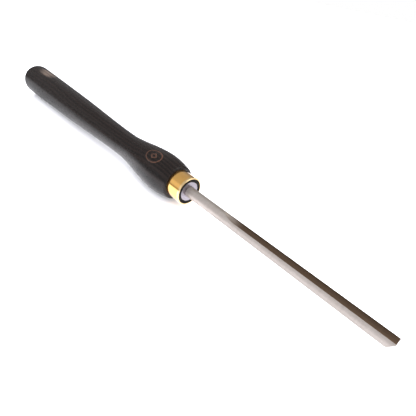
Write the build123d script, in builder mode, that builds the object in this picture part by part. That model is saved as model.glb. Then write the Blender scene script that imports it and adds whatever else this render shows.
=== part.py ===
from build123d import *
from build123d.topology import SkipClean
from math import radians, tan
import os

# A woodturning gouge: a long ebonised handle, a brass ferrule, a steel socket glued into the
# handle, and a fluted bar whose tang slides into the socket under two grub screws.
# +X runs along the tool towards the cutting edge and +Z is up. The tool lies on the plane z = 0,
# with the origin below the middle of its length. Stations along the tool are counted from the
# ferrule's front rim: positive on the bar's side, negative along the handle.

# ---- Driving dimensions, millimetres and degrees ----
handle_length = 332.0          # butt to the ferrule's front rim
bar_reach = 190.0              # ferrule's front rim to the cutting edge

# Handle
swell_radius = 19.5
swell_at = 39.0                # behind the rim
neck_radius = 13.25
neck_at = 102.0                # behind the rim
lower_grip_radius = 15.45      # a third of the way from the neck to the butt
upper_grip_radius = 17.4       # two thirds of the way
butt_radius = 18.8
butt_round = 5.0
butt_crown = 0.8               # how far the butt's face bulges
grip_taper = 0.012             # slope of the grip at the butt
shoulder_step = 2.7            # the swell's front shoulder stands this far above the ferrule
shoulder_round = 2.2

# Ferrule
ferrule_length = 15.5
ferrule_radius = 13.5
ferrule_wall = 1.05
ferrule_rim_round = 0.45
tenon_recess = 0.7             # the tenon's end lies this far behind the rim

# Socket
socket_radius = 9.5
socket_floor = 5.0
socket_edge = 0.35
socket_mouth = 0.3
glue_grooves = 3
glue_groove_width = 1.6
glue_groove_depth = 0.5
glue_groove_pitch = 10.0

# Bar
bar_radius = 5.0
tang_step = 1.0                # the shoulder that stops the bar against the socket
tang_length = 52.0
flat_depth = 0.5               # of the flat on the tang that the grub screws bear on
tang_lead = 0.8
flute_radius = 3.5             # the flute is a half round
flute_from = 44.0              # where the run-out starts in the bar's surface
flute_runout = 18.0            # length of the run-out up to full depth
runout_sweep = 60.0            # degrees of arc that the cutter rises through
bevel_angle = 45.0             # between the bevel and the flute's floor

# Grub screws
screw_radius = 2.5
screw_sink = 0.4               # below the ferrule's surface
screw_hex = 2.5                # across the flats of the key socket
screw_hex_depth = 2.6
screw_crown = 0.35

# ---- Clearances ----
tang_clearance = 0.05          # radial, tang in socket
tang_end_gap = 1.0             # tang's end to the socket's floor
thread_clearance = 0.05        # radial, screw in socket
screw_way = 0.25               # radial, screw in ferrule and tenon
screw_tip_gap = 0.05           # screw's point to the tang's flat

# ---- Sizes that follow ----
rim_x = (handle_length - bar_reach) / 2
shoulder_radius = ferrule_radius + shoulder_step
tang_radius = bar_radius - tang_step
tang_flat = tang_radius - flat_depth                         # tang's axis to its flat
tenon_radius = ferrule_radius - ferrule_wall
socket_bore_radius = tang_radius + tang_clearance
socket_bore_depth = tang_length + tang_end_gap
socket_length = socket_bore_depth + socket_floor
screw_stations = (-ferrule_length / 4, -ferrule_length * 3 / 4)
screw_head_at = ferrule_radius - screw_sink
butt_dish_radius = (butt_radius**2 + butt_crown**2) / (2 * butt_crown)
screw_length = screw_head_at - tang_flat - screw_tip_gap
hole_reach = ferrule_radius + ferrule_wall                   # past the ferrule's outside

rim_centre = Vector(rim_x, 0, swell_radius)
tool_axis = Axis(rim_centre, (1, 0, 0))
profile_plane = Plane(rim_centre, x_dir=(1, 0, 0), z_dir=(0, -1, 0))   # local x along the tool, y up
screw_plane = Plane(rim_centre, x_dir=(1, 0, 0), z_dir=(0, 0, -1))     # local x along the tool, z down


def cross_plane(station):
    """A plane across the tool at a station, its local x pointing up."""
    return Plane(rim_centre + Vector(station, 0, 0), x_dir=(0, 0, 1), z_dir=(1, 0, 0))


def finish(piece, name):
    """Label a finished piece and write its STEP file."""
    piece.part.label = name
    export_step(piece.part, f"parts/{name}.step")
    print(f"{name}: {piece.part.volume:.1f} mm3")


def screw_circles(radius):
    """Sketch a circle on the tool's axis at each grub screw, facing down."""
    with BuildSketch(screw_plane) as circles:
        with Locations(*[(station, 0) for station in screw_stations]):
            Circle(radius)
    return circles.sketch


os.makedirs("parts", exist_ok=True)

# ---- Handle: one turning, with the tenon at its front and the bore for the socket ----
butt_corner = (-handle_length + butt_crown, butt_radius)
shoulder_corner = (-ferrule_length, shoulder_radius)
grip_third = (handle_length - butt_crown - neck_at) / 3
waist_third = (neck_at - swell_at) / 3
nose_middle = -(swell_at + ferrule_length) / 2
with BuildPart() as handle:
    with BuildSketch(profile_plane) as half_turning:
        with BuildLine():
            butt = RadiusArc((-handle_length, 0), butt_corner, butt_dish_radius)
            grip = Spline(
                butt @ 1,
                (-neck_at - 2 * grip_third, upper_grip_radius),
                (-neck_at - grip_third, lower_grip_radius),
                (-neck_at, neck_radius),
                tangents=[(1, -grip_taper), (1, 0)],
            )
            rise = Bezier(
                grip @ 1,
                (-neck_at + waist_third, neck_radius),
                (-swell_at - waist_third, swell_radius),
                (-swell_at, swell_radius),
            )
            nose = Bezier(rise @ 1, (nose_middle, swell_radius), shoulder_corner)
            Polyline(
                shoulder_corner,
                (-ferrule_length, tenon_radius),
                (-tenon_recess, tenon_radius),
                (-tenon_recess, socket_radius),
                (-socket_length, socket_radius),
                (-socket_length, 0),
                (-handle_length, 0),
            )
        make_face()
        for corner, rounding in ((butt_corner, butt_round), (shoulder_corner, shoulder_round)):
            fillet(half_turning.vertices().sort_by_distance(corner)[0], rounding)
    revolve(axis=tool_axis)
    extrude(screw_circles(screw_radius + screw_way), amount=hole_reach, mode=Mode.SUBTRACT)
finish(handle, "handle")

# ---- Ferrule: a brass tube pressed over the tenon, its front rim rounded over ----
with BuildPart() as ferrule:
    with BuildSketch(Plane(rim_centre, z_dir=(-1, 0, 0))):
        Circle(ferrule_radius)
        Circle(tenon_radius, mode=Mode.SUBTRACT)
    extrude(amount=ferrule_length)
    rim = ferrule.faces().sort_by(Axis.X)[-1]
    fillet(rim.edges().sort_by(SortBy.RADIUS)[-1], ferrule_rim_round)
    extrude(screw_circles(screw_radius + screw_way), amount=hole_reach, mode=Mode.SUBTRACT)
finish(ferrule, "ferrule")

# ---- Socket: a steel bush with a blind bore, and grooves round it that hold the glue ----
with BuildPart() as socket:
    with BuildSketch(Plane(rim_centre, z_dir=(-1, 0, 0))):
        Circle(socket_radius)
    extrude(amount=socket_length)
    chamfer(socket.edges().filter_by(GeomType.CIRCLE), socket_edge)
    with BuildSketch(Plane(rim_centre, z_dir=(-1, 0, 0))):
        Circle(socket_bore_radius)
    extrude(amount=socket_bore_depth, mode=Mode.SUBTRACT)
    mouth = socket.faces().sort_by(Axis.X)[-1]
    chamfer(mouth.edges().sort_by(SortBy.RADIUS)[0], socket_mouth)
    first_groove = -socket_length + glue_groove_pitch
    with BuildSketch(profile_plane):
        with Locations(*[
            (first_groove + glue_groove_pitch * n, socket_radius) for n in range(glue_grooves)
        ]):
            Rectangle(glue_groove_width, 2 * glue_groove_depth)
    revolve(axis=tool_axis, mode=Mode.SUBTRACT)
    extrude(screw_circles(screw_radius + thread_clearance), amount=hole_reach, mode=Mode.SUBTRACT)
finish(socket, "socket")

# ---- Bar: the round shank, the fluted length in front of it and the tang behind it ----
flute_full_at = flute_from + flute_runout
flute_axis_height = (bar_radius**2 - flute_radius**2) ** 0.5     # so the flute's edges lie on the bar
flute_depth = bar_radius - flute_axis_height + flute_radius
floor_runout_radius = (flute_runout**2 + flute_depth**2) / (2 * flute_depth)
bevel_clear = 2 * bar_radius + flute_radius                      # outside the bar, from the flute's axis
bevel_length = (bevel_clear - flute_radius) / tan(radians(bevel_angle))
flute_axis = Axis(rim_centre + Vector(0, 0, flute_axis_height), (1, 0, 0))
with BuildPart() as bar:
    # The round shank, as far as the end of the flute's run-out
    with BuildSketch(cross_plane(0)):
        Circle(bar_radius)
    extrude(amount=flute_full_at)
    # The tang is turned down, so that the bar's shoulder stops against the socket's face.
    with BuildSketch(profile_plane):
        with BuildLine():
            Polyline(
                (0, 0),
                (0, tang_radius),
                (-tang_length + tang_lead, tang_radius),
                (-tang_length, tang_radius - tang_lead),
                (-tang_length, 0),
                close=True,
            )
        make_face()
    revolve(axis=tool_axis)
    # The grub screws bear on a flat that runs the whole length of the tang.
    with BuildSketch(screw_plane.offset(tang_flat)):
        with Locations((-tang_length / 2, 0)):
            Rectangle(tang_length, 2 * tang_radius)
    extrude(amount=flat_depth, mode=Mode.SUBTRACT)
    # The fluted length stays a face of its own, beside the shank's full circle.
    with SkipClean():
        with BuildSketch(cross_plane(flute_full_at)):
            Circle(bar_radius)
        extrude(amount=bar_reach - flute_full_at)
        # The bevel is a cone about the flute's centre line, so the cutting edge lies square across.
        with BuildSketch(profile_plane):
            with BuildLine():
                Polyline(
                    (bar_reach, flute_axis_height + flute_radius),
                    (bar_reach, flute_axis_height + bevel_clear),
                    (bar_reach - bevel_length, flute_axis_height + bevel_clear),
                    close=True,
                )
            make_face()
        revolve(axis=flute_axis, mode=Mode.SUBTRACT)
        # A round cutter follows the flute's centre line and rises along an arc at the run-out.
        with BuildLine(profile_plane) as cutter_path:
            floor_line = Line((bar_reach + bar_radius, flute_axis_height), (flute_full_at, flute_axis_height))
            JernArc(floor_line @ 1, floor_line % 1, floor_runout_radius - flute_radius, -runout_sweep)
        with BuildSketch(Plane(cutter_path.line @ 0, z_dir=(-1, 0, 0))):
            Circle(flute_radius)
        sweep(path=cutter_path.line, mode=Mode.SUBTRACT)
finish(bar, "bar")

# ---- Grub screws: hexagon key socket outside, cup point on the tang's flat ----
for place, station in zip(("front", "rear"), screw_stations):
    with BuildPart() as grub_screw:
        with BuildSketch(screw_plane.offset(screw_head_at)):
            with Locations((station, 0)):
                Circle(screw_radius)
        extrude(amount=-screw_length)
        chamfer(grub_screw.edges().filter_by(GeomType.CIRCLE), screw_crown)
        with BuildSketch(screw_plane.offset(screw_head_at)):
            with Locations((station, 0)):
                RegularPolygon(screw_hex / 2, 6, major_radius=False)
        extrude(amount=-screw_hex_depth, mode=Mode.SUBTRACT)
    finish(grub_screw, f"{place}_grub_screw")
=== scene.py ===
import logging
from dataclasses import dataclass
from enum import Enum
from math import pi, radians, sin
from typing import NamedTuple, Sequence

import bpy
from mathutils import Matrix, Vector


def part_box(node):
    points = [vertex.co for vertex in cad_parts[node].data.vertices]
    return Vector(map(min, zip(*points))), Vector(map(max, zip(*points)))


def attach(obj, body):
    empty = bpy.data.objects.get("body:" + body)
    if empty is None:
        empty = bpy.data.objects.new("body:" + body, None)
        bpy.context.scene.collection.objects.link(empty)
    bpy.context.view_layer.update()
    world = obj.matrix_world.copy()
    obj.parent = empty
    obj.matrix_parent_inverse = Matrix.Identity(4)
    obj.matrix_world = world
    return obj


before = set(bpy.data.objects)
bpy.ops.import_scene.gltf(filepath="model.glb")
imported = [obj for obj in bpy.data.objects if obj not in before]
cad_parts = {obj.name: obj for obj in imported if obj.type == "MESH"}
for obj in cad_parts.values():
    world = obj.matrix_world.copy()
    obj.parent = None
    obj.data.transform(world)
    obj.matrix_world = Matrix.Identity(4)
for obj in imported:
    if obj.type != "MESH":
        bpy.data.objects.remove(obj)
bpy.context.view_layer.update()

log = logging.getLogger("woodturning_gouge")

Colour = tuple[float, float, float]
Node, Tree, Socket = bpy.types.Node, bpy.types.NodeTree, bpy.types.NodeSocket
Material, Piece = bpy.types.Material, bpy.types.Object


# ---- Where the tool's parts lie ----

@dataclass(frozen=True)
class ToolLines:
    """The stations and heights that the finishes and the new pieces are set out from, in metres.

    Args:
        butt_x: The butt's end face.
        rim_x: The ferrule's front rim.
        collar_x: The ferrule's back end, where the wood's shoulder meets it.
        axis_z: Height of the tool's axis.
        bar_radius: Radius of the bar.
        swell_radius: Largest radius of the handle.
    """

    butt_x: float
    rim_x: float
    collar_x: float
    axis_z: float
    bar_radius: float
    swell_radius: float

    @classmethod
    def from_frame(cls) -> "ToolLines":
        """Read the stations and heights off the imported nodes' boxes.

        Returns:
            The tool's lines.
        """
        handle_low, handle_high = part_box("handle")
        ferrule_low, ferrule_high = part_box("ferrule")
        bar_low, bar_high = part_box("bar")
        return cls(
            butt_x=handle_low.x,
            rim_x=ferrule_high.x,
            collar_x=ferrule_low.x,
            axis_z=(handle_low.z + handle_high.z) / 2,
            bar_radius=(bar_high.y - bar_low.y) / 2,
            swell_radius=(handle_high.z - handle_low.z) / 2,
        )


# ---- Helpers for shader trees ----

class Fade(NamedTuple):
    """A smooth change from one value to another.

    Args:
        start: Where the change starts.
        end: Where it ends.
        low: The value at the start.
        high: The value at the end.
    """

    start: float
    end: float
    low: float = 0.0
    high: float = 1.0


class Wiring:
    """Adds nodes to one node tree, links them and lays them out in columns."""

    def __init__(self, tree: Tree) -> None:
        """Start wiring a tree.

        Args:
            tree: The material's, world's or group's node tree.
        """
        self.tree = tree
        self.count = 0

    def node(self, kind: str, **settings: object) -> Node:
        """Add a node.

        Args:
            kind: The node's type name.
            settings: Properties of the node to set.

        Returns:
            The new node.
        """
        made = self.tree.nodes.new(kind)
        made.location = (220 * (self.count // 4), -260 * (self.count % 4))
        self.count += 1
        for name, value in settings.items():
            setattr(made, name, value)
        return made

    def feed(self, target: Socket, source: object) -> None:
        """Link a socket to an input, or set the input's own value.

        Args:
            target: The input socket.
            source: Another node's output socket, or a plain value.
        """
        if isinstance(source, Socket):
            self.tree.links.new(source, target)
        else:
            target.default_value = source

    def fill(self, node: Node, **sources: object) -> None:
        """Feed several of a node's inputs.

        Args:
            node: The node.
            sources: What feeds each input, with _ for spaces in the input's name.
        """
        for name, source in sources.items():
            self.feed(node.inputs[name.replace("_", " ")], source)

    def math(self, operation: str, *terms: object) -> Socket:
        """Add a Math node.

        Args:
            operation: The node's operation.
            terms: Its inputs, sockets or numbers.

        Returns:
            The result's socket.
        """
        made = self.node("ShaderNodeMath", operation=operation)
        for target, term in zip(made.inputs, terms):
            self.feed(target, term)
        return made.outputs[0]

    def times(self, first: object, *others: object) -> Socket:
        """Multiply values.

        Args:
            first: The first value.
            others: The rest, one or more.

        Returns:
            The product's socket.
        """
        product = first
        for other in others:
            product = self.math("MULTIPLY", product, other)
        return product

    def added(self, base: object, *shares: tuple[Socket, object]) -> Socket:
        """Add shares of some values to a base.

        Args:
            base: The base.
            shares: Each value's socket, with the factor it is multiplied by.

        Returns:
            The sum's socket.
        """
        total = base
        for value, factor in shares:
            total = self.math("ADD", total, self.times(value, factor))
        return total

    def ramp(self, value: object, start: float, end: float,
             low: float = 0.0, high: float = 1.0) -> Socket:
        """Map a value smoothly from one range to another.

        Args:
            value: The value's socket.
            start: Where the change starts.
            end: Where the change ends.
            low: The result at the start.
            high: The result at the end.

        Returns:
            The result's socket.
        """
        made = self.node("ShaderNodeMapRange", interpolation_type="SMOOTHSTEP")
        for target, term in zip(made.inputs, (value, start, end, low, high)):
            self.feed(target, term)
        return made.outputs[0]

    def mix(self, factor: object, first: object, second: object,
            blend: str = "MIX") -> Socket:
        """Mix two colours.

        Args:
            factor: How much of the second colour shows.
            first: The first colour.
            second: The second colour.
            blend: How the second goes over the first.

        Returns:
            The mixed colour's socket.
        """
        made = self.node("ShaderNodeMix", data_type="RGBA", blend_type=blend)
        sockets = (made.inputs["Factor"], *(entry for entry in made.inputs if entry.type == "RGBA"))
        for target, term in zip(sockets, (factor, first, second)):
            self.feed(target, (*term, 1.0) if isinstance(term, tuple) and len(term) == 3 else term)
        return next(entry for entry in made.outputs if entry.type == "RGBA")

    def noise(self, place: object, scale: float, detail: float = 3.0,
              distortion: float = 0.0) -> Socket:
        """Add a noise texture over a place.

        Args:
            place: The coordinates.
            scale: Lumps in a metre.
            detail: Octaves.
            distortion: How much the lumps are pulled about.

        Returns:
            The noise's value, 0 to 1.
        """
        made = self.node("ShaderNodeTexNoise")
        self.fill(made, Vector=place, Scale=scale, Detail=detail, Distortion=distortion)
        return made.outputs["Fac"]

    def line_noise(self, count: object, detail: float) -> Socket:
        """Add a noise texture along one line.

        Args:
            count: The place along the line, in lumps.
            detail: Octaves.

        Returns:
            The noise's value, 0 to 1.
        """
        made = self.node("ShaderNodeTexNoise", noise_dimensions="1D")
        self.fill(made, W=count, Scale=1.0, Detail=detail)
        return made.outputs["Fac"]

    def vector_math(self, operation: str, place: object, other: Sequence[float]) -> Node:
        """Add a Vector Math node over a place.

        Args:
            operation: The node's operation.
            place: The coordinates.
            other: The fixed point or the factors that it works with.

        Returns:
            The node.
        """
        made = self.node("ShaderNodeVectorMath", operation=operation)
        self.feed(made.inputs[0], place)
        made.inputs[1].default_value = other
        return made

    def stretched(self, place: object, scale: Sequence[float]) -> Socket:
        """Multiply coordinates by a scale along each axis."""
        return self.vector_math("MULTIPLY", place, scale).outputs["Vector"]

    def off(self, value: object, middle: float) -> Socket:
        """Give how far a value is from a fixed one, on either side."""
        return self.math("ABSOLUTE", self.math("SUBTRACT", value, middle))

    def split(self, place: object) -> Sequence[Socket]:
        """Take coordinates apart.

        Args:
            place: The coordinates.

        Returns:
            The sockets of x, y and z.
        """
        made = self.node("ShaderNodeSeparateXYZ")
        self.feed(made.inputs[0], place)
        return made.outputs

    def bump(self, height: object, distance: float, strength: float = 1.0) -> Socket:
        """Turn a height into a normal.

        Args:
            height: The height's socket, 0 to 1.
            distance: How high a height of 1 stands, in metres.
            strength: How much of the bump shows.

        Returns:
            The normal's socket.
        """
        made = self.node("ShaderNodeBump")
        self.fill(made, Strength=strength, Distance=distance, Height=height)
        return made.outputs[0]

    def effect(self, group: Tree, **inputs: object) -> Sequence[Socket]:
        """Place a shared effect in the tree.

        Args:
            group: The effect's node group.
            inputs: Values for its inputs, with _ for spaces in their names.

        Returns:
            The effect's outputs.
        """
        made = self.node("ShaderNodeGroup", node_tree=group)
        self.fill(made, **inputs)
        return made.outputs


def new_group(name: str, inputs: dict[str, tuple[str, object]],
              outputs: dict[str, str]) -> tuple[Tree, Wiring, Sequence[Socket], Node]:
    """Start a shader node group with named sockets.

    Args:
        name: The group's name.
        inputs: Each input's name, with its socket type and its value when nothing is linked.
        outputs: Each output's name, with its socket type.

    Returns:
        The group, its wiring, its inputs as sockets to build on, and its output node.
    """
    group = bpy.data.node_groups.new(name, "ShaderNodeTree")
    for label, (kind, value) in inputs.items():
        socket = group.interface.new_socket(name=label, in_out="INPUT", socket_type=kind)
        if value is not None:
            socket.default_value = value
    for label, kind in outputs.items():
        group.interface.new_socket(name=label, in_out="OUTPUT", socket_type=kind)
    wiring = Wiring(group)
    return group, wiring, wiring.node("NodeGroupInput").outputs, wiring.node("NodeGroupOutput")


class Effects:
    """The shared effects: each is a node group that is built once."""

    VALUE = "NodeSocketFloat"
    VECTOR = "NodeSocketVector"

    def __init__(self) -> None:
        """Build every group."""
        self.tool_coordinates = self._tool_coordinates()
        self.wood_grain = self._wood_grain()
        self.turned_lines = self._turned_lines()
        self.smears = self._smears()
        self.edge_wear = self._edge_wear()

    def _tool_coordinates(self) -> Tree:
        """Build the group that gives a place's station, radius and turn about an axis along X.

        Returns:
            The group.
        """
        group, w, given, made = new_group(
            "tool_coordinates",
            {"Position": (self.VECTOR, None), "Axis Height": (self.VALUE, 0.0)},
            {"Along": self.VALUE, "Radius": self.VALUE, "Turn": self.VALUE},
        )
        along, side, height = w.split(given["Position"])
        up = w.math("SUBTRACT", height, given["Axis Height"])
        radius = w.math("SQRT", w.math("ADD", w.times(side, side), w.times(up, up)))
        w.fill(made, Along=along, Radius=radius, Turn=w.math("ARCTAN2", side, up))
        return group

    def _wood_grain(self) -> Tree:
        """Build the grain of ring-porous wood with its fibres along X.

        Returns:
            The group.
        """
        group, w, given, made = new_group(
            "wood_grain",
            {"Position": (self.VECTOR, None), "Ring Width": (self.VALUE, 0.003)},
            {"Rings": self.VALUE, "Streaks": self.VALUE, "Pores": self.VALUE, "Height": self.VALUE},
        )
        place = given["Position"]
        wander = w.noise(w.stretched(place, (6.0, 60.0, 60.0)), 1.0, 2.0)
        _, side, height = w.split(place)
        depth = w.added(side, (height, 0.45), (wander, 0.012))
        phase = w.math("FRACT", w.math("DIVIDE", depth, given["Ring Width"]))
        rings = w.ramp(phase, 0.05, 0.9)
        streaks = w.noise(w.stretched(place, (18.0, 900.0, 900.0)), 1.0, 4.0)
        dashes = w.noise(w.stretched(place, (170.0, 2600.0, 2600.0)), 1.0, 1.0)
        early_wood = w.ramp(rings, 0.75, 0.15)
        pores = w.times(w.ramp(dashes, 0.56, 0.66), w.added(0.2, (early_wood, 0.8)))
        relief = w.math("SUBTRACT", w.times(streaks, 0.35), pores)
        w.fill(made, Rings=rings, Streaks=streaks, Pores=pores, Height=relief)
        return group

    def _turned_lines(self) -> Tree:
        """Build the fine uneven lines that a cutter or a wheel leaves across its feed.

        Returns:
            The group.
        """
        group, w, given, made = new_group(
            "turned_lines",
            {"Along": (self.VALUE, 0.0), "Pitch": (self.VALUE, 0.0002), "Position": (self.VECTOR, None)},
            {"Height": self.VALUE, "Tone": self.VALUE},
        )
        count = w.math("DIVIDE", given["Along"], given["Pitch"])
        fine = w.line_noise(count, 3.0)
        coarse = w.line_noise(w.times(count, 0.13), 2.0)
        patchy = w.ramp(w.noise(given["Position"], 160.0, 2.0), 0.35, 0.65, 0.45, 1.0)
        height = w.times(fine, patchy)
        w.fill(made, Height=height, Tone=w.added(0.0, (height, 0.55), (coarse, 0.45)))
        return group

    def _smears(self) -> Tree:
        """Build the patches where handling has dulled a finish.

        Returns:
            The group.
        """
        group, w, given, made = new_group(
            "smears",
            {"Position": (self.VECTOR, None), "Cover": (self.VALUE, 0.5)},
            {"Mask": self.VALUE, "Specks": self.VALUE},
        )
        broad = w.noise(given["Position"], 75.0, 5.0, 1.4)
        start = w.math("SUBTRACT", 0.95, w.times(given["Cover"], 0.8))
        smeared = w.ramp(broad, start, w.math("ADD", start, 0.3))
        specks = w.ramp(w.noise(given["Position"], 1900.0, 1.0), 0.68, 0.76)
        w.fill(made, Mask=smeared, Specks=specks)
        return group

    def _edge_wear(self) -> Tree:
        """Build the broken band of wear beside an edge, from the distance to the edge.

        Returns:
            The group.
        """
        group, w, given, made = new_group(
            "edge_wear",
            {"Distance": (self.VALUE, 1.0), "Reach": (self.VALUE, 0.001),
             "Position": (self.VECTOR, None), "Raggedness": (self.VALUE, 0.6)},
            {"Mask": self.VALUE},
        )
        reached = w.math("DIVIDE", given["Distance"], given["Reach"])
        nearness = w.math("SUBTRACT", 1.0, reached)
        break_up = w.math("SUBTRACT", w.noise(given["Position"], 900.0, 4.0), 0.5)
        break_up = w.times(break_up, 2.0, given["Raggedness"])
        w.fill(made, Mask=w.ramp(w.math("ADD", nearness, break_up), 0.1, 0.75))
        return group


# ---- Finishes ----

@dataclass(frozen=True)
class Finish:
    """What every finish shares: a material with one Principled shader.

    Args:
        lines: The tool's stations.
        effects: The shared effects.
    """

    lines: ToolLines
    effects: Effects

    def begin(self, name: str) -> tuple[Material, Wiring, Node, Socket]:
        """Start a material.

        Args:
            name: The material's name.

        Returns:
            The material, its wiring, its shader and the Object coordinates.
        """
        material = bpy.data.materials.new(name)
        material.use_nodes = True
        material.node_tree.nodes.clear()
        wiring = Wiring(material.node_tree)
        output = wiring.node("ShaderNodeOutputMaterial")
        shader = wiring.node("ShaderNodeBsdfPrincipled")
        wiring.fill(output, Surface=shader.outputs[0])
        return material, wiring, shader, wiring.node("ShaderNodeTexCoord").outputs["Object"]

    def spot(self, w: Wiring, place: object, rise: float = 0.0) -> Sequence[Socket]:
        """Find a place's station, radius and turn about the tool's axis.

        Args:
            w: The material's wiring.
            place: The coordinates.
            rise: How far above the tool's axis to measure from.

        Returns:
            The three sockets.
        """
        height = self.lines.axis_z + rise
        return w.effect(self.effects.tool_coordinates, Position=place, Axis_Height=height)


@dataclass(frozen=True)
class EbonisedWood(Finish):
    """Ash stained black under a satin lacquer, worn brown at the butt's corner, with a painted highlight in
    the same brown on its top near the butt.

    Args:
        stain: Colour of the stain.
        late_wood: Colour where the dense wood took less stain.
        pore: Colour in the pores.
        bare_wood_and_highlight: Colour where the stain has worn through at the butt's corner, and of the
            painted highlight on the top.
        ring_width: Width of a year's growth.
        roughness: Roughness of the lacquer.
        grain_height: Depth of the grain under the lacquer.
        corner_inset: The middle of the butt's rounded corner, in front of the end face.
        corner_radius: The same middle's distance from the axis.
        corner_reach: How far the corner's wear spreads.
        painted_highlight_at: Middle of the painted highlight, a brown glint on the top near the butt, from
            the centre of the butt's end.
        painted_highlight_reach: How far the painted highlight spreads round the handle.
        painted_highlight_squeeze: The painted highlight's width as a part of its length along the grain.
    """

    stain: Colour = (0.0034, 0.0021, 0.0017)
    late_wood: Colour = (0.0088, 0.0054, 0.0044)
    pore: Colour = (0.0015, 0.0012, 0.0012)
    bare_wood_and_highlight: Colour = (0.170, 0.124, 0.097)
    ring_width: float = 0.0042
    roughness: float = 0.25
    grain_height: float = 0.00005
    corner_inset: float = 0.0016
    corner_radius: float = 0.0172
    corner_reach: float = 0.0050
    painted_highlight_at: tuple[float, float, float] = (0.038, 0.0008, 0.0187)
    painted_highlight_reach: float = 0.0105
    painted_highlight_squeeze: float = 0.42

    def build(self) -> Material:
        """Build the material.

        Returns:
            The material of the handle.
        """
        material, w, shader, place = self.begin("ebonised_wood")
        along, radius, _ = self.spot(w, place)
        rings, streaks, pores, relief = w.effect(self.effects.wood_grain, Position=place,
                                                 Ring_Width=self.ring_width)
        dull, _ = w.effect(self.effects.smears, Position=place, Cover=0.55)
        tone = w.added(0.0, (rings, 0.6), (streaks, 0.5))
        body = w.mix(w.ramp(tone, 0.2, 0.95), self.stain, self.late_wood)
        body = w.mix(w.times(pores, 0.7), body, self.pore)
        from_corner = w.math("ADD", w.off(along, self.lines.butt_x + self.corner_inset),
                             w.off(radius, self.corner_radius))
        corner = w.effect(self.effects.edge_wear, Distance=from_corner, Reach=self.corner_reach,
                          Position=place, Raggedness=0.7)["Mask"]
        # Painted highlight: a lighter brown spot on the top of the handle near the butt, where a glint falls.
        squeezed = w.stretched(place, (self.painted_highlight_squeeze, 1.0, 1.0))
        middle = ((self.lines.butt_x + self.painted_highlight_at[0]) * self.painted_highlight_squeeze, self.painted_highlight_at[1],
                  self.lines.axis_z + self.painted_highlight_at[2])
        from_highlight = w.vector_math("DISTANCE", squeezed, middle).outputs["Value"]
        painted_highlight = w.effect(self.effects.edge_wear, Distance=from_highlight, Reach=self.painted_highlight_reach,
                         Position=place, Raggedness=0.45)["Mask"]
        # The corner's wear and the painted highlight share one mask and one colour.
        wear_and_painted_light = w.math("MAXIMUM", w.times(corner, 0.38), painted_highlight)
        wear_and_painted_light = w.times(wear_and_painted_light, w.ramp(streaks, 0.3, 0.62))
        w.fill(
            shader,
            Base_Color=w.mix(w.times(wear_and_painted_light, 0.70), body, self.bare_wood_and_highlight),
            Roughness=w.added(self.roughness, (dull, 0.10), (wear_and_painted_light, 0.2), (pores, 0.2)),
            Normal=w.bump(relief, self.grain_height, 0.55),
            Specular_IOR_Level=0.20, Coat_Weight=0.05, Coat_Roughness=0.18,
        )
        return material


@dataclass(frozen=True)
class PolishedBrass(Finish):
    """Polished brass with faint turning lines, dulled beside the wood, with a painted highlight along the
    front rim.

    Args:
        bright: Colour of the clean metal.
        line_tone: Colour in the turning lines.
        tarnish: Colour of the tarnish beside the wood.
        rim_highlight: Painted highlight: the paler colour of the front rim.
        roughness: Roughness of the clean metal.
        line_pitch: Distance between the turning lines.
        line_height: Height of the turning lines.
        tarnish_reach: How far the tarnish spreads from the wood.
        rim_highlight_reach: How far the painted highlight spreads from the front rim.
    """

    bright: Colour = (0.94, 0.52, 0.12)
    line_tone: Colour = (0.78, 0.40, 0.075)
    tarnish: Colour = (0.36, 0.18, 0.045)
    rim_highlight: Colour = (0.95, 0.71, 0.36)
    roughness: float = 0.13
    line_pitch: float = 0.00022
    line_height: float = 0.000006
    tarnish_reach: float = 0.0016
    rim_highlight_reach: float = 0.0030

    def build(self) -> Material:
        """Build the material.

        Returns:
            The material of the ferrule.
        """
        material, w, shader, place = self.begin("brass")
        along, _, _ = self.spot(w, place)
        relief, tone = w.effect(self.effects.turned_lines, Along=along, Pitch=self.line_pitch, Position=place)
        dull, specks = w.effect(self.effects.smears, Position=place, Cover=0.5)
        colour = w.mix(w.times(tone, 0.22), self.bright, self.line_tone)
        joint = w.effect(self.effects.edge_wear, Position=place, Raggedness=0.5, Reach=self.tarnish_reach,
                         Distance=w.off(along, self.lines.collar_x))["Mask"]
        colour = w.mix(w.times(joint, 0.8), colour, self.tarnish)
        colour = w.mix(w.times(specks, 0.3), colour, self.tarnish)
        # Painted highlight: the front rim paler, where it gleams.
        rim = w.effect(self.effects.edge_wear, Position=place, Raggedness=0.15, Reach=self.rim_highlight_reach,
                       Distance=w.off(along, self.lines.rim_x))["Mask"]
        w.fill(
            shader,
            Base_Color=w.mix(w.times(rim, 0.85), colour, self.rim_highlight),
            Roughness=w.added(self.roughness, (dull, 0.10), (joint, 0.2)),
            Normal=w.bump(relief, self.line_height, 0.5),
            Metallic=1.0, Coat_Weight=1.0, Coat_Roughness=0.12,
        )
        return material


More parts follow.
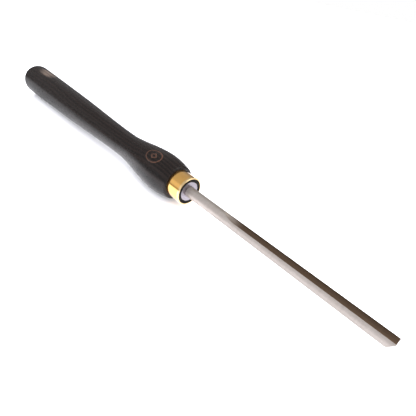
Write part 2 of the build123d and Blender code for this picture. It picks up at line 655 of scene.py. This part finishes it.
@dataclass(frozen=True)
class TurnedSteel(Finish):
    """Bright steel of the socket, faced in the lathe, with painted shade in a ring round the bar where it
    enters.

    Args:
        bright: Colour of the metal.
        shade: Colour in the turning lines.
        speck: Colour of the specks.
        wear_and_painted_light: Painted shade: the darker colour of the ring round the bar, where it meets the
            socket.
        roughness: Roughness of the clean metal.
        line_pitch: Distance between the turning lines.
        line_height: Height of the turning lines.
        mouth_shade_reach: How far the painted shade spreads from the bar.
    """

    bright: Colour = (0.36, 0.33, 0.365)
    shade: Colour = (0.18, 0.16, 0.185)
    speck: Colour = (0.16, 0.13, 0.12)
    wear_and_painted_light: Colour = (0.16, 0.13, 0.14)
    roughness: float = 0.24
    line_pitch: float = 0.00018
    line_height: float = 0.000012
    mouth_shade_reach: float = 0.0011

    def build(self) -> Material:
        """Build the material.

        Returns:
            The material of the socket.
        """
        material, w, shader, place = self.begin("socket_steel")
        along, radius, _ = self.spot(w, place)
        relief, tone = w.effect(self.effects.turned_lines, Along=w.math("ADD", radius, along),
                                Pitch=self.line_pitch, Position=place)
        dull, specks = w.effect(self.effects.smears, Position=place, Cover=0.6)
        colour = w.mix(w.times(tone, 0.7), self.bright, self.shade)
        colour = w.mix(w.times(specks, 0.35), colour, self.speck)
        # Painted shade: a darker ring on the socket's face round the bar, where the bar meets it.
        painted_mouth_shade = w.effect(self.effects.edge_wear, Position=place, Raggedness=0.35, Reach=self.mouth_shade_reach,
                         Distance=w.off(radius, self.lines.bar_radius))["Mask"]
        w.fill(
            shader,
            Base_Color=w.mix(w.times(painted_mouth_shade, 0.3), colour, self.wear_and_painted_light),
            Roughness=w.added(self.roughness, (dull, 0.14)),
            Normal=w.bump(relief, self.line_height, 0.6),
            Metallic=1.0,
        )
        return material


@dataclass(frozen=True)
class GroundSteel(Finish):
    """High-speed steel: the round outside ground bright, the flute dark brown, and a line of painted shade
    along the top on the flute's +Y side.

    Args:
        bright: Colour of the ground metal.
        shade: Colour in the grinding lines.
        handled: Colour where handling has dulled it.
        speck: Colour of the specks.
        flute_brown: Colour of the flute.
        flute_line_tone: Colour in the flute's milling lines.
        flute_dulled: Colour of the flute where the handling smears lie.
        bevel: Colour of the bevel, fresh from the grinder.
        painted_top_shade: Painted shade: the colour of the darker brown line along the top of the bar, on the
            flute's +Y side.
        top_shade_turn: Where that painted shade line lies round the bar, in radians from the top.
        top_shade_spread: How the painted shade line fades out round the bar, in radians.
        flute_radius: Radius of the flute.
        flute_from: The run-out's start, in front of the ferrule's rim.
        runout: Length over which the run-out darkens.
        lead: Length over which the flute's look starts, behind the run-out.
        skin: Depth within which a surface still counts as the bar's outside or as clear of the flute.
        skin_fade: Further depth over which that changes.
        flute_skin: Distance from the flute within which a surface counts as the flute's in full.
        roughness: Roughness of the ground metal.
        grinding_pitch: Distance between the grinding lines.
        milling_pitch: Distance between the flute's milling lines.
        line_height: Height of both kinds of line.
    """

    bright: Colour = (0.480, 0.435, 0.404)
    shade: Colour = (0.325, 0.288, 0.262)
    handled: Colour = (0.40, 0.345, 0.30)
    speck: Colour = (0.14, 0.10, 0.08)
    flute_brown: Colour = (0.118, 0.077, 0.049)
    flute_line_tone: Colour = (0.085, 0.056, 0.038)
    flute_dulled: Colour = (0.19, 0.13, 0.085)
    bevel: Colour = (0.58, 0.555, 0.53)
    painted_top_shade: Colour = (0.185, 0.155, 0.130)
    top_shade_turn: float = 0.15
    top_shade_spread: Fade = Fade(0.75, 0.15)
    flute_radius: float = 0.0035
    flute_from: float = 0.044
    runout: float = 0.020
    lead: float = 0.001
    skin: float = 0.00006
    skin_fade: float = 0.00008
    flute_skin: float = 0.00002
    roughness: float = 0.47
    grinding_pitch: float = 0.00024
    milling_pitch: float = 0.00011
    line_height: float = 0.000015

    def build(self) -> Material:
        """Build the material.

        Returns:
            The material of the bar.
        """
        material, w, shader, place = self.begin("bar_steel")
        lines = self.lines
        flute_rise = (lines.bar_radius**2 - self.flute_radius**2) ** 0.5
        along, radius, turn = self.spot(w, place)
        _, flute_distance, _ = self.spot(w, place, flute_rise)
        outside = lines.bar_radius - self.skin
        under_skin = w.ramp(radius, outside, outside - self.skin_fade)
        in_flute = w.ramp(flute_distance, self.flute_radius + self.skin, self.flute_radius + self.flute_skin)
        start = lines.rim_x + self.flute_from
        beyond = w.ramp(along, start - self.lead, start)
        flute_mask = w.times(under_skin, in_flute, beyond)
        bevel_mask = w.times(under_skin, beyond, w.math("SUBTRACT", 1.0, in_flute))

        ground, ground_tone = w.effect(self.effects.turned_lines, Along=along, Pitch=self.grinding_pitch,
                                       Position=place)
        milled, milled_tone = w.effect(
            self.effects.turned_lines, Along=w.times(turn, lines.bar_radius), Pitch=self.milling_pitch,
            Position=w.stretched(place, (0.2, 1.0, 1.0)))
        dull, specks = w.effect(self.effects.smears, Position=place, Cover=0.55)
        colour = w.mix(w.times(ground_tone, 0.9), self.bright, self.shade)
        colour = w.mix(w.times(dull, 0.25), colour, self.handled)
        colour = w.mix(w.times(specks, 0.4), colour, self.speck)
        # Painted shade: a darker brown line along the top of the bar on its +Y side, broken up by the
        # handling smears.
        top_shade_band = w.ramp(w.off(turn, self.top_shade_turn), *self.top_shade_spread)
        top_shade_mask = w.times(top_shade_band, w.ramp(dull, 0.0, 1.0, 0.5, 0.7))
        colour = w.mix(top_shade_mask, colour, self.painted_top_shade)
        # The flute darker brown, coming in over the run-out.
        darkening = w.ramp(along, start - self.lead, start + self.runout, 0.15, 1.0)
        cut = w.mix(w.times(milled_tone, 0.5), self.flute_brown, self.flute_line_tone)
        cut = w.mix(w.times(dull, 0.25), cut, self.flute_dulled)
        colour = w.mix(w.times(flute_mask, darkening), colour, cut)
        relief = w.added(w.times(ground, w.math("SUBTRACT", 1.0, flute_mask)), (milled, flute_mask))
        w.fill(
            shader,
            Base_Color=w.mix(bevel_mask, colour, self.bevel),
            Roughness=w.added(self.roughness, (dull, 0.08), (flute_mask, 0.06), (bevel_mask, -0.14)),
            Normal=w.bump(relief, self.line_height, 0.55),
            Metallic=0.85,
        )
        return material


@dataclass(frozen=True)
class BlackOxide(Finish):
    """Oil-blackened steel of the grub screws, bright where the key has rubbed it.

    Args:
        oxide: Colour of the oxide.
        wear_and_painted_light: Colour where it has worn.
        roughness: Roughness of the oxide.
        line_pitch: Distance between the turning lines.
        line_height: Height of the turning lines.
        head_radius: The heads' distance from the tool's axis.
        head_reach: How far the wear spreads from the heads.
    """

    oxide: Colour = (0.026, 0.026, 0.029)
    wear_and_painted_light: Colour = (0.24, 0.23, 0.22)
    roughness: float = 0.34
    line_pitch: float = 0.0004
    line_height: float = 0.00001
    head_radius: float = 0.0131
    head_reach: float = 0.0007

    def build(self) -> Material:
        """Build the material.

        Returns:
            The material of both grub screws.
        """
        material, w, shader, place = self.begin("screw_steel")
        _, radius, _ = self.spot(w, place)
        dull, specks = w.effect(self.effects.smears, Position=place, Cover=0.5)
        relief, _ = w.effect(self.effects.turned_lines, Along=radius, Pitch=self.line_pitch, Position=place)
        head = w.effect(self.effects.edge_wear, Position=place, Raggedness=0.8, Reach=self.head_reach,
                        Distance=w.off(radius, self.head_radius))["Mask"]
        worn = w.added(0.0, (head, 0.35), (specks, 0.15))
        w.fill(
            shader,
            Base_Color=w.mix(worn, self.oxide, self.wear_and_painted_light),
            Roughness=w.added(self.roughness, (dull, 0.15)),
            Normal=w.bump(relief, self.line_height, 0.5),
            Metallic=0.85,
        )
        return material


@dataclass(frozen=True)
class JointShadeBlack(Finish):
    """Painted shade: a dull black with dust in it and almost no reflection, for the bead that stands in for
    the shade in the joint.

    Args:
        black: Colour of the bead.
        dust: Colour of the dust.
        roughness: Roughness of the bead.
        swirl_height: Height of the swirls in it.
    """

    black: Colour = (0.0085, 0.0078, 0.0068)
    dust: Colour = (0.050, 0.044, 0.036)
    roughness: float = 0.62
    swirl_height: float = 0.00005

    def build(self) -> Material:
        """Build the material.

        Returns:
            The material of the bead.
        """
        material, w, shader, place = self.begin("joint_shade_black")
        dull, specks = w.effect(self.effects.smears, Position=place, Cover=0.6)
        settled = w.added(0.0, (dull, 0.35), (specks, 1.0))
        # Painted shade: nearly black with almost no reflection, so the bead reads as the shade in the joint.
        w.fill(
            shader,
            Base_Color=w.mix(settled, self.black, self.dust),
            Roughness=w.added(self.roughness, (dull, 0.2)),
            Normal=w.bump(dull, self.swirl_height, 0.4),
            Specular_IOR_Level=0.06,
        )
        return material


@dataclass(frozen=True)
class BronzeFoil(Finish):
    """Hot-stamped bronze foil, rubbed thin by the hand.

    Args:
        foil: Colour of the foil.
        gone: Colour where the black wood shows through.
        ring_width: Width of a year's growth in the wood under it.
        grain_height: Depth of the grain that shows through it.
    """

    foil: Colour = (0.125, 0.060, 0.040)
    gone: Colour = (0.010, 0.007, 0.006)
    ring_width: float = 0.0042
    grain_height: float = 0.00004

    def build(self) -> Material:
        """Build the material.

        Returns:
            The material of the mark.
        """
        material, w, shader, place = self.begin("bronze_foil")
        _, _, pores, relief = w.effect(self.effects.wood_grain, Position=place, Ring_Width=self.ring_width)
        thin = w.noise(place, 620.0, 4.0, 0.8)
        worn = w.ramp(w.added(thin, (pores, 0.3)), 0.50, 0.68)
        w.fill(
            shader,
            Base_Color=w.mix(worn, self.foil, self.gone),
            Roughness=w.ramp(thin, 0.3, 0.7, 0.32, 0.5),
            Metallic=w.ramp(worn, 0.0, 1.0, 0.8, 0.0),
            Normal=w.bump(relief, self.grain_height, 0.5),
        )
        return material


# ---- Modelling helpers ----

def deselect_everything() -> None:
    """Leave object mode with nothing selected."""
    if bpy.context.mode != "OBJECT":
        bpy.ops.object.mode_set(mode="OBJECT")
    bpy.ops.object.select_all(action="DESELECT")


def pick(piece: Piece) -> None:
    """Select one piece alone and make it active.

    Args:
        piece: The piece.
    """
    deselect_everything()
    piece.select_set(True)
    bpy.context.view_layer.objects.active = piece


def edit_all() -> None:
    """Enter edit mode with everything selected."""
    bpy.ops.object.mode_set(mode="EDIT")
    bpy.ops.mesh.select_all(action="SELECT")


def apply_modifier(piece: Piece, kind: str, **settings: object) -> None:
    """Give the active piece a modifier and apply it.

    Args:
        piece: The piece.
        kind: The modifier's type.
        settings: Its settings.
    """
    made = piece.modifiers.new(kind.lower(), kind)
    for name, value in settings.items():
        setattr(made, name, value)
    bpy.ops.object.modifier_apply(modifier=made.name)


def settle(piece: Piece, name: str) -> Piece:
    """Name a piece and put its place into its mesh, so that its object sits at the origin.

    Args:
        piece: The piece.
        name: Its name.

    Returns:
        The same piece.
    """
    pick(piece)
    piece.name = name
    piece.data.name = name
    bpy.ops.object.transform_apply(location=True, rotation=True, scale=True)
    return piece


def dress(piece: Piece, material: Material) -> None:
    """Give a piece one material in every slot it has.

    Args:
        piece: The piece.
        material: The finish's material.
    """
    if not piece.material_slots:
        piece.data.materials.append(material)
    for place in piece.material_slots:
        place.material = material


# ---- Sub-assemblies ----

@dataclass
class Assembly:
    """What every sub-assembly is built from.

    Args:
        lines: The tool's stations.
        effects: The shared effects.
    """

    lines: ToolLines
    effects: Effects


class MarkShape(Enum):
    """The outlines of the foil mark, each with its number of sides and of cuts in every side."""

    OVAL = (96, 1)
    LOZENGE = (4, 12)


@dataclass
class FoilMark(Assembly):
    """A plain oval ring with a lozenge in it, stamped on the handle's swell.

    Args:
        station: The mark's middle, behind the ferrule's rim.
        lean: How far round the handle the mark lies from the top, towards -Y, in degrees.
        half_length: Half the oval's length along the handle.
        half_width: Half the oval's width round the handle.
        band: Width of the oval's line.
        lozenge: The lozenge's size as a part of the oval's.
        thickness: Thickness of the foil.
        lift: Gap left under it.
    """

    station: float = 0.0435
    lean: float = 27.0
    half_length: float = 0.0102
    half_width: float = 0.0076
    band: float = 0.00135
    lozenge: float = 0.46
    thickness: float = 0.00003
    lift: float = 0.00006

    def outline(self, shape: MarkShape, size: float) -> Piece:
        """Make one outline as a flat line of even width, above the handle.

        Args:
            shape: Which outline.
            size: Its size as a part of the oval's.

        Returns:
            The outline, lying flat.
        """
        sides, cuts = shape.value
        deselect_everything()
        bpy.ops.mesh.primitive_circle_add(
            vertices=sides, radius=1.0, fill_type="NGON",
            location=(self.lines.rim_x - self.station, 0.0, self.lines.axis_z + self.lines.swell_radius),
        )
        made = bpy.context.active_object
        made.scale = (self.half_length * size, self.half_width * size, 1.0)
        bpy.ops.object.transform_apply(location=False, rotation=False, scale=True)
        edit_all()
        bpy.ops.mesh.inset(thickness=self.band, depth=0.0)
        bpy.ops.mesh.delete(type="FACE")
        bpy.ops.mesh.select_all(action="SELECT")
        bpy.ops.mesh.subdivide(number_cuts=cuts)
        bpy.ops.object.mode_set(mode="OBJECT")
        return made

    def build(self, handle: Piece) -> Piece:
        """Stamp the mark on the handle.

        Args:
            handle: The handle's node, which the foil lies on.

        Returns:
            The mark.
        """
        oval = self.outline(MarkShape.OVAL, 1.0)
        lozenge = self.outline(MarkShape.LOZENGE, self.lozenge)
        pick(oval)
        lozenge.select_set(True)
        bpy.ops.object.join()
        mark = settle(oval, "foil_mark")
        edit_all()
        bpy.ops.transform.rotate(
            value=-radians(self.lean), orient_axis="X",
            center_override=(0.0, 0.0, self.lines.axis_z),
        )
        bpy.ops.object.mode_set(mode="OBJECT")
        apply_modifier(mark, "SHRINKWRAP", target=handle, wrap_method="NEAREST_SURFACEPOINT",
                       wrap_mode="ABOVE_SURFACE", offset=self.lift)
        apply_modifier(mark, "SOLIDIFY", thickness=self.thickness, offset=1.0)
        bpy.ops.object.shade_smooth_by_angle(angle=radians(40))
        dress(mark, BronzeFoil(self.lines, self.effects).build())
        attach(mark, "handle")
        return mark


class Handle(Assembly):
    """The turned handle with its foil mark."""

    def build(self) -> list[Piece]:
        """Dress the turning and stamp the mark on it.

        Returns:
            The handle's node and the mark.
        """
        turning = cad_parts["handle"]
        dress(turning, EbonisedWood(self.lines, self.effects).build())
        return [turning, FoilMark(self.lines, self.effects).build(turning)]


@dataclass
class JointShadeBead(Assembly):
    """Painted shade: a black bead that fills the joint between the ferrule and the socket, sagging in its
    middle, in place of the shade in that groove.

    Args:
        inner: The socket's radius.
        outer: Radius inside the ferrule.
        floor: How far behind the rim the wood ends.
        climb: How far the bead climbs both walls from the wood.
        sag: How much lower its middle lies.
        gap: Gap left at both walls.
        depth: Thickness of its skin.
        rings: How many rings it is made up of, from wall to wall.
        sides: How many sides each ring has.
    """

    inner: float = 0.0095
    outer: float = 0.01245
    floor: float = 0.0007
    climb: float = 0.00042
    sag: float = 0.00036
    gap: float = 0.00001
    depth: float = 0.00004
    rings: int = 8
    sides: int = 144

    def build(self) -> Piece:
        """Run the bead round the joint: a disc inset into rings, each pushed back to the sagging line.

        Returns:
            The bead.
        """
        front = self.lines.rim_x - self.floor + self.climb
        low, high = self.inner + self.gap, self.outer - self.gap
        deselect_everything()
        bpy.ops.mesh.primitive_circle_add(
            vertices=self.sides, radius=high, fill_type="NGON",
            location=(front, 0.0, self.lines.axis_z), rotation=(0.0, radians(90), 0.0),
        )
        bead = settle(bpy.context.active_object, "joint_shade_bead")
        edit_all()
        for _ in range(self.rings):
            bpy.ops.mesh.inset(thickness=(high - low) / self.rings, depth=0.0)
        bpy.ops.mesh.delete(type="FACE")
        bpy.ops.object.mode_set(mode="OBJECT")
        for corner in bead.data.vertices:
            radius = Vector((corner.co.y, corner.co.z - self.lines.axis_z)).length
            across = min(max((radius - low) / (high - low), 0.0), 1.0)
            corner.co.x = front - self.sag * sin(pi * across) ** 0.7
        apply_modifier(bead, "SOLIDIFY", thickness=self.depth, offset=-1.0)
        edit_all()
        bpy.ops.mesh.normals_make_consistent(inside=False)
        bpy.ops.object.mode_set(mode="OBJECT")
        bpy.ops.object.shade_smooth_by_angle(angle=radians(50))
        dress(bead, JointShadeBlack(self.lines, self.effects).build())
        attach(bead, "handle")
        return bead


class FerruleAndSocket(Assembly):
    """The brass ferrule, the steel socket inside it and the painted-shade bead between them."""

    def build(self) -> list[Piece]:
        """Dress both metals and run the painted-shade bead between them.

        Returns:
            The ferrule, the socket and the bead.
        """
        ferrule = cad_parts["ferrule"]
        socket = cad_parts["socket"]
        dress(ferrule, PolishedBrass(self.lines, self.effects).build())
        dress(socket, TurnedSteel(self.lines, self.effects).build())
        return [ferrule, socket, JointShadeBead(self.lines, self.effects).build()]


class Bar(Assembly):
    """The fluted bar."""

    def build(self) -> list[Piece]:
        """Dress the bar.

        Returns:
            The bar alone.
        """
        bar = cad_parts["bar"]
        dress(bar, GroundSteel(self.lines, self.effects).build())
        return [bar]


class GrubScrews(Assembly):
    """The two grub screws under the ferrule."""

    def build(self) -> list[Piece]:
        """Dress both screws in one finish.

        Returns:
            The two screws.
        """
        oxide = BlackOxide(self.lines, self.effects).build()
        screws = [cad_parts[name] for name in ("front_grub_screw", "rear_grub_screw")]
        for screw in screws:
            dress(screw, oxide)
        return screws


# ---- Floor, light and camera ----

@dataclass
class Stage:
    """A plain pale floor, soft studio light and the camera.

    Args:
        lines: The tool's stations.
        floor_radius: Radius of the floor.
        floor_depth: Thickness of the floor.
        floor_colour: Colour of the floor.
        floor_mottle: Colour of the faint clouds in it.
        soft_box_power: Power of the main light, in watts.
        soft_box_side: Side of the main light.
        soft_box_at: Middle of the main light.
        soft_box_tint: Colour of the main light.
        tent_level: Brightness of the white tent that lights the floor evenly.
        tent_tint: Colour of the tent.
        wall_tint: Colour of the walls, as the metals mirror them, and of the floor's gleam.
        low_wall: Brightness of the walls against the height of the direction, low down.
        ceiling: How the studio dims towards its ceiling.
        far_side: How it dims towards its far side.
        far_end: How it dims again in directions straight across the tool.
        butt_end: How it brightens away from the end behind the butt.
        floor_gleam: What the lit floor adds in the metals' mirror images.
        floor_away: How the floor dims in those images away from the tool.
        floor_butt: How it brightens along the handle, from the butt.
        floor_tip: How it dims under the bar.
        eye: The camera's place from the ferrule's rim.
        ahead: The way the camera looks.
        upward: The camera's up.
        focal: The camera's focal length, as a part of the frame's width.
        sensor: Width of the camera's sensor, in millimetres.
    """

    lines: ToolLines
    floor_radius: float = 6.0
    floor_depth: float = 0.02
    floor_colour: Colour = (0.86, 0.86, 0.88)
    floor_mottle: Colour = (0.84, 0.84, 0.865)
    soft_box_power: float = 13.0
    soft_box_side: float = 1.6
    soft_box_at: tuple[float, float, float] = (0.75, 0.85, 1.45)
    soft_box_tint: Colour = (1.0, 0.985, 0.96)
    tent_level: float = 3.1
    tent_tint: Colour = (0.97, 0.97, 1.0)
    wall_tint: Colour = (0.98, 0.98, 1.0)
    low_wall: Fade = Fade(0.03, 0.24, 0.45, 0.92)
    ceiling: Fade = Fade(0.42, 0.62, 1.0, 0.66)
    far_side: Fade = Fade(-0.45, 0.35, 1.0, 0.85)
    far_end: Fade = Fade(0.45, 0.75, 1.0, 0.45)
    butt_end: Fade = Fade(-0.95, -0.60, 0.35, 1.0)
    floor_gleam: float = 0.4
    floor_away: Fade = Fade(0.05, 0.40, 0.92, 0.40)
    floor_butt: Fade = Fade(-0.26, -0.02, 0.45, 1.0)
    floor_tip: Fade = Fade(0.075, 0.105, 1.0, 0.62)
    eye: tuple[float, float, float] = (0.1808, -0.18212, 0.16371)
    ahead: tuple[float, float, float] = (-0.5344, 0.6244, -0.5697)
    upward: tuple[float, float, float] = (-0.50743, 0.30210, 0.80704)
    focal: float = 340.0 / 416.0
    sensor: float = 36.0

    def build(self) -> None:
        """Build the floor, the world, the light and the camera."""
        self.floor()
        self.world()
        self.soft_box()
        self.camera()

    def floor(self) -> None:
        """Lay the floor as a wide disc with a thickness below z = 0."""
        deselect_everything()
        bpy.ops.mesh.primitive_circle_add(vertices=96, radius=self.floor_radius, fill_type="NGON",
                                          location=(0.0, 0.0, 0.0))
        floor = bpy.context.active_object
        edit_all()
        bpy.ops.mesh.extrude_region_move(TRANSFORM_OT_translate={"value": (0.0, 0.0, -self.floor_depth)})
        bpy.ops.mesh.select_all(action="SELECT")
        bpy.ops.mesh.normals_make_consistent(inside=False)
        bpy.ops.object.mode_set(mode="OBJECT")
        settle(floor, "floor")
        material = bpy.data.materials.new("floor_card")
        material.use_nodes = True
        w = Wiring(material.node_tree)
        shader = material.node_tree.nodes["Principled BSDF"]
        place = w.node("ShaderNodeTexCoord").outputs["Object"]
        mottle = w.mix(w.noise(place, 9.0, 3.0), self.floor_colour, self.floor_mottle)
        mirrored = w.node("ShaderNodeLightPath").outputs["Is Glossy Ray"]
        along, across, _ = w.split(place)
        falloff = w.times(
            w.ramp(w.math("ABSOLUTE", across), *self.floor_away),
            w.ramp(along, *self.floor_butt),
            w.ramp(along, *self.floor_tip),
        )
        w.fill(
            shader,
            Base_Color=w.mix(mirrored, mottle, w.mix(1.0, mottle, falloff, "MULTIPLY")),
            Roughness=0.6, Specular_IOR_Level=0.2,
            Emission_Color=(*self.wall_tint, 1.0),
            Emission_Strength=w.times(mirrored, falloff, self.floor_gleam),
        )
        dress(floor, material)

    def world(self) -> None:
        """Make the studio: walls for the metals to mirror, and a white tent that lights the rest."""
        world = bpy.data.worlds.new("studio")
        bpy.context.scene.world = world
        world.use_nodes = True
        world.node_tree.nodes.clear()
        w = Wiring(world.node_tree)
        output = w.node("ShaderNodeOutputWorld")
        along, across, up = w.split(w.node("ShaderNodeTexCoord").outputs["Generated"])
        level = w.times(
            w.ramp(up, *self.low_wall),
            w.ramp(up, *self.ceiling),
            w.ramp(across, *self.far_side),
            w.ramp(along, *self.butt_end),
            w.ramp(across, *self.far_end),
        )
        walls, tent, backdrop = (w.node("ShaderNodeBackground") for _ in range(3))
        w.fill(walls, Color=w.mix(1.0, self.wall_tint, level, "MULTIPLY"))
        w.fill(tent, Color=(*self.tent_tint, 1.0), Strength=self.tent_level)
        w.fill(backdrop, Color=(1.0, 1.0, 1.0, 1.0))
        ray = w.node("ShaderNodeLightPath")
        seen = tent.outputs[0]
        for kind, surroundings in (("Is Glossy Ray", walls), ("Is Camera Ray", backdrop)):
            chooser = w.node("ShaderNodeMixShader")
            for target, source in zip(chooser.inputs, (ray.outputs[kind], seen, surroundings.outputs[0])):
                w.feed(target, source)
            seen = chooser.outputs[0]
        w.fill(output, Surface=seen)
        bpy.context.scene.view_settings.view_transform = "Standard"

    def soft_box(self) -> None:
        """Hang the main light over the far side of the tool."""
        bpy.ops.object.light_add(type="AREA", location=self.soft_box_at)
        light = bpy.context.active_object
        light.name = "soft_box"
        light.data.shape = "SQUARE"
        light.data.size = self.soft_box_side
        light.data.energy = self.soft_box_power
        light.data.color = self.soft_box_tint
        aim = Vector((0.0, 0.0, 0.0)) - Vector(self.soft_box_at)
        light.rotation_euler = aim.to_track_quat("-Z", "Y").to_euler()

    def camera(self) -> None:
        """Set the camera from its place, its direction and its up."""
        rim = Vector((self.lines.rim_x, 0.0, self.lines.axis_z))
        bpy.ops.object.camera_add(location=rim + Vector(self.eye))
        camera = bpy.context.active_object
        camera.name = "camera"
        back = -Vector(self.ahead).normalized()
        right = Vector(self.upward).cross(back).normalized()
        up = back.cross(right)
        camera.rotation_euler = Matrix((right, up, back)).transposed().to_euler()
        camera.data.sensor_width = self.sensor
        camera.data.lens = self.focal * self.sensor
        camera.data.clip_start = 0.01
        bpy.context.scene.camera = camera


# ---- The whole tool ----

def main() -> None:
    """Build every sub-assembly in order, then the stage."""
    logging.basicConfig(level=logging.INFO, format="%(name)s: %(message)s")
    lines = ToolLines.from_frame()
    effects = Effects()
    for assembly in (Handle(lines, effects), FerruleAndSocket(lines, effects),
                     Bar(lines, effects), GrubScrews(lines, effects)):
        for piece in assembly.build():
            log.info("%s: %s, %d faces", type(assembly).__name__, piece.name, len(piece.data.polygons))
    Stage(lines).build()


if __name__ == "__main__":
    main()
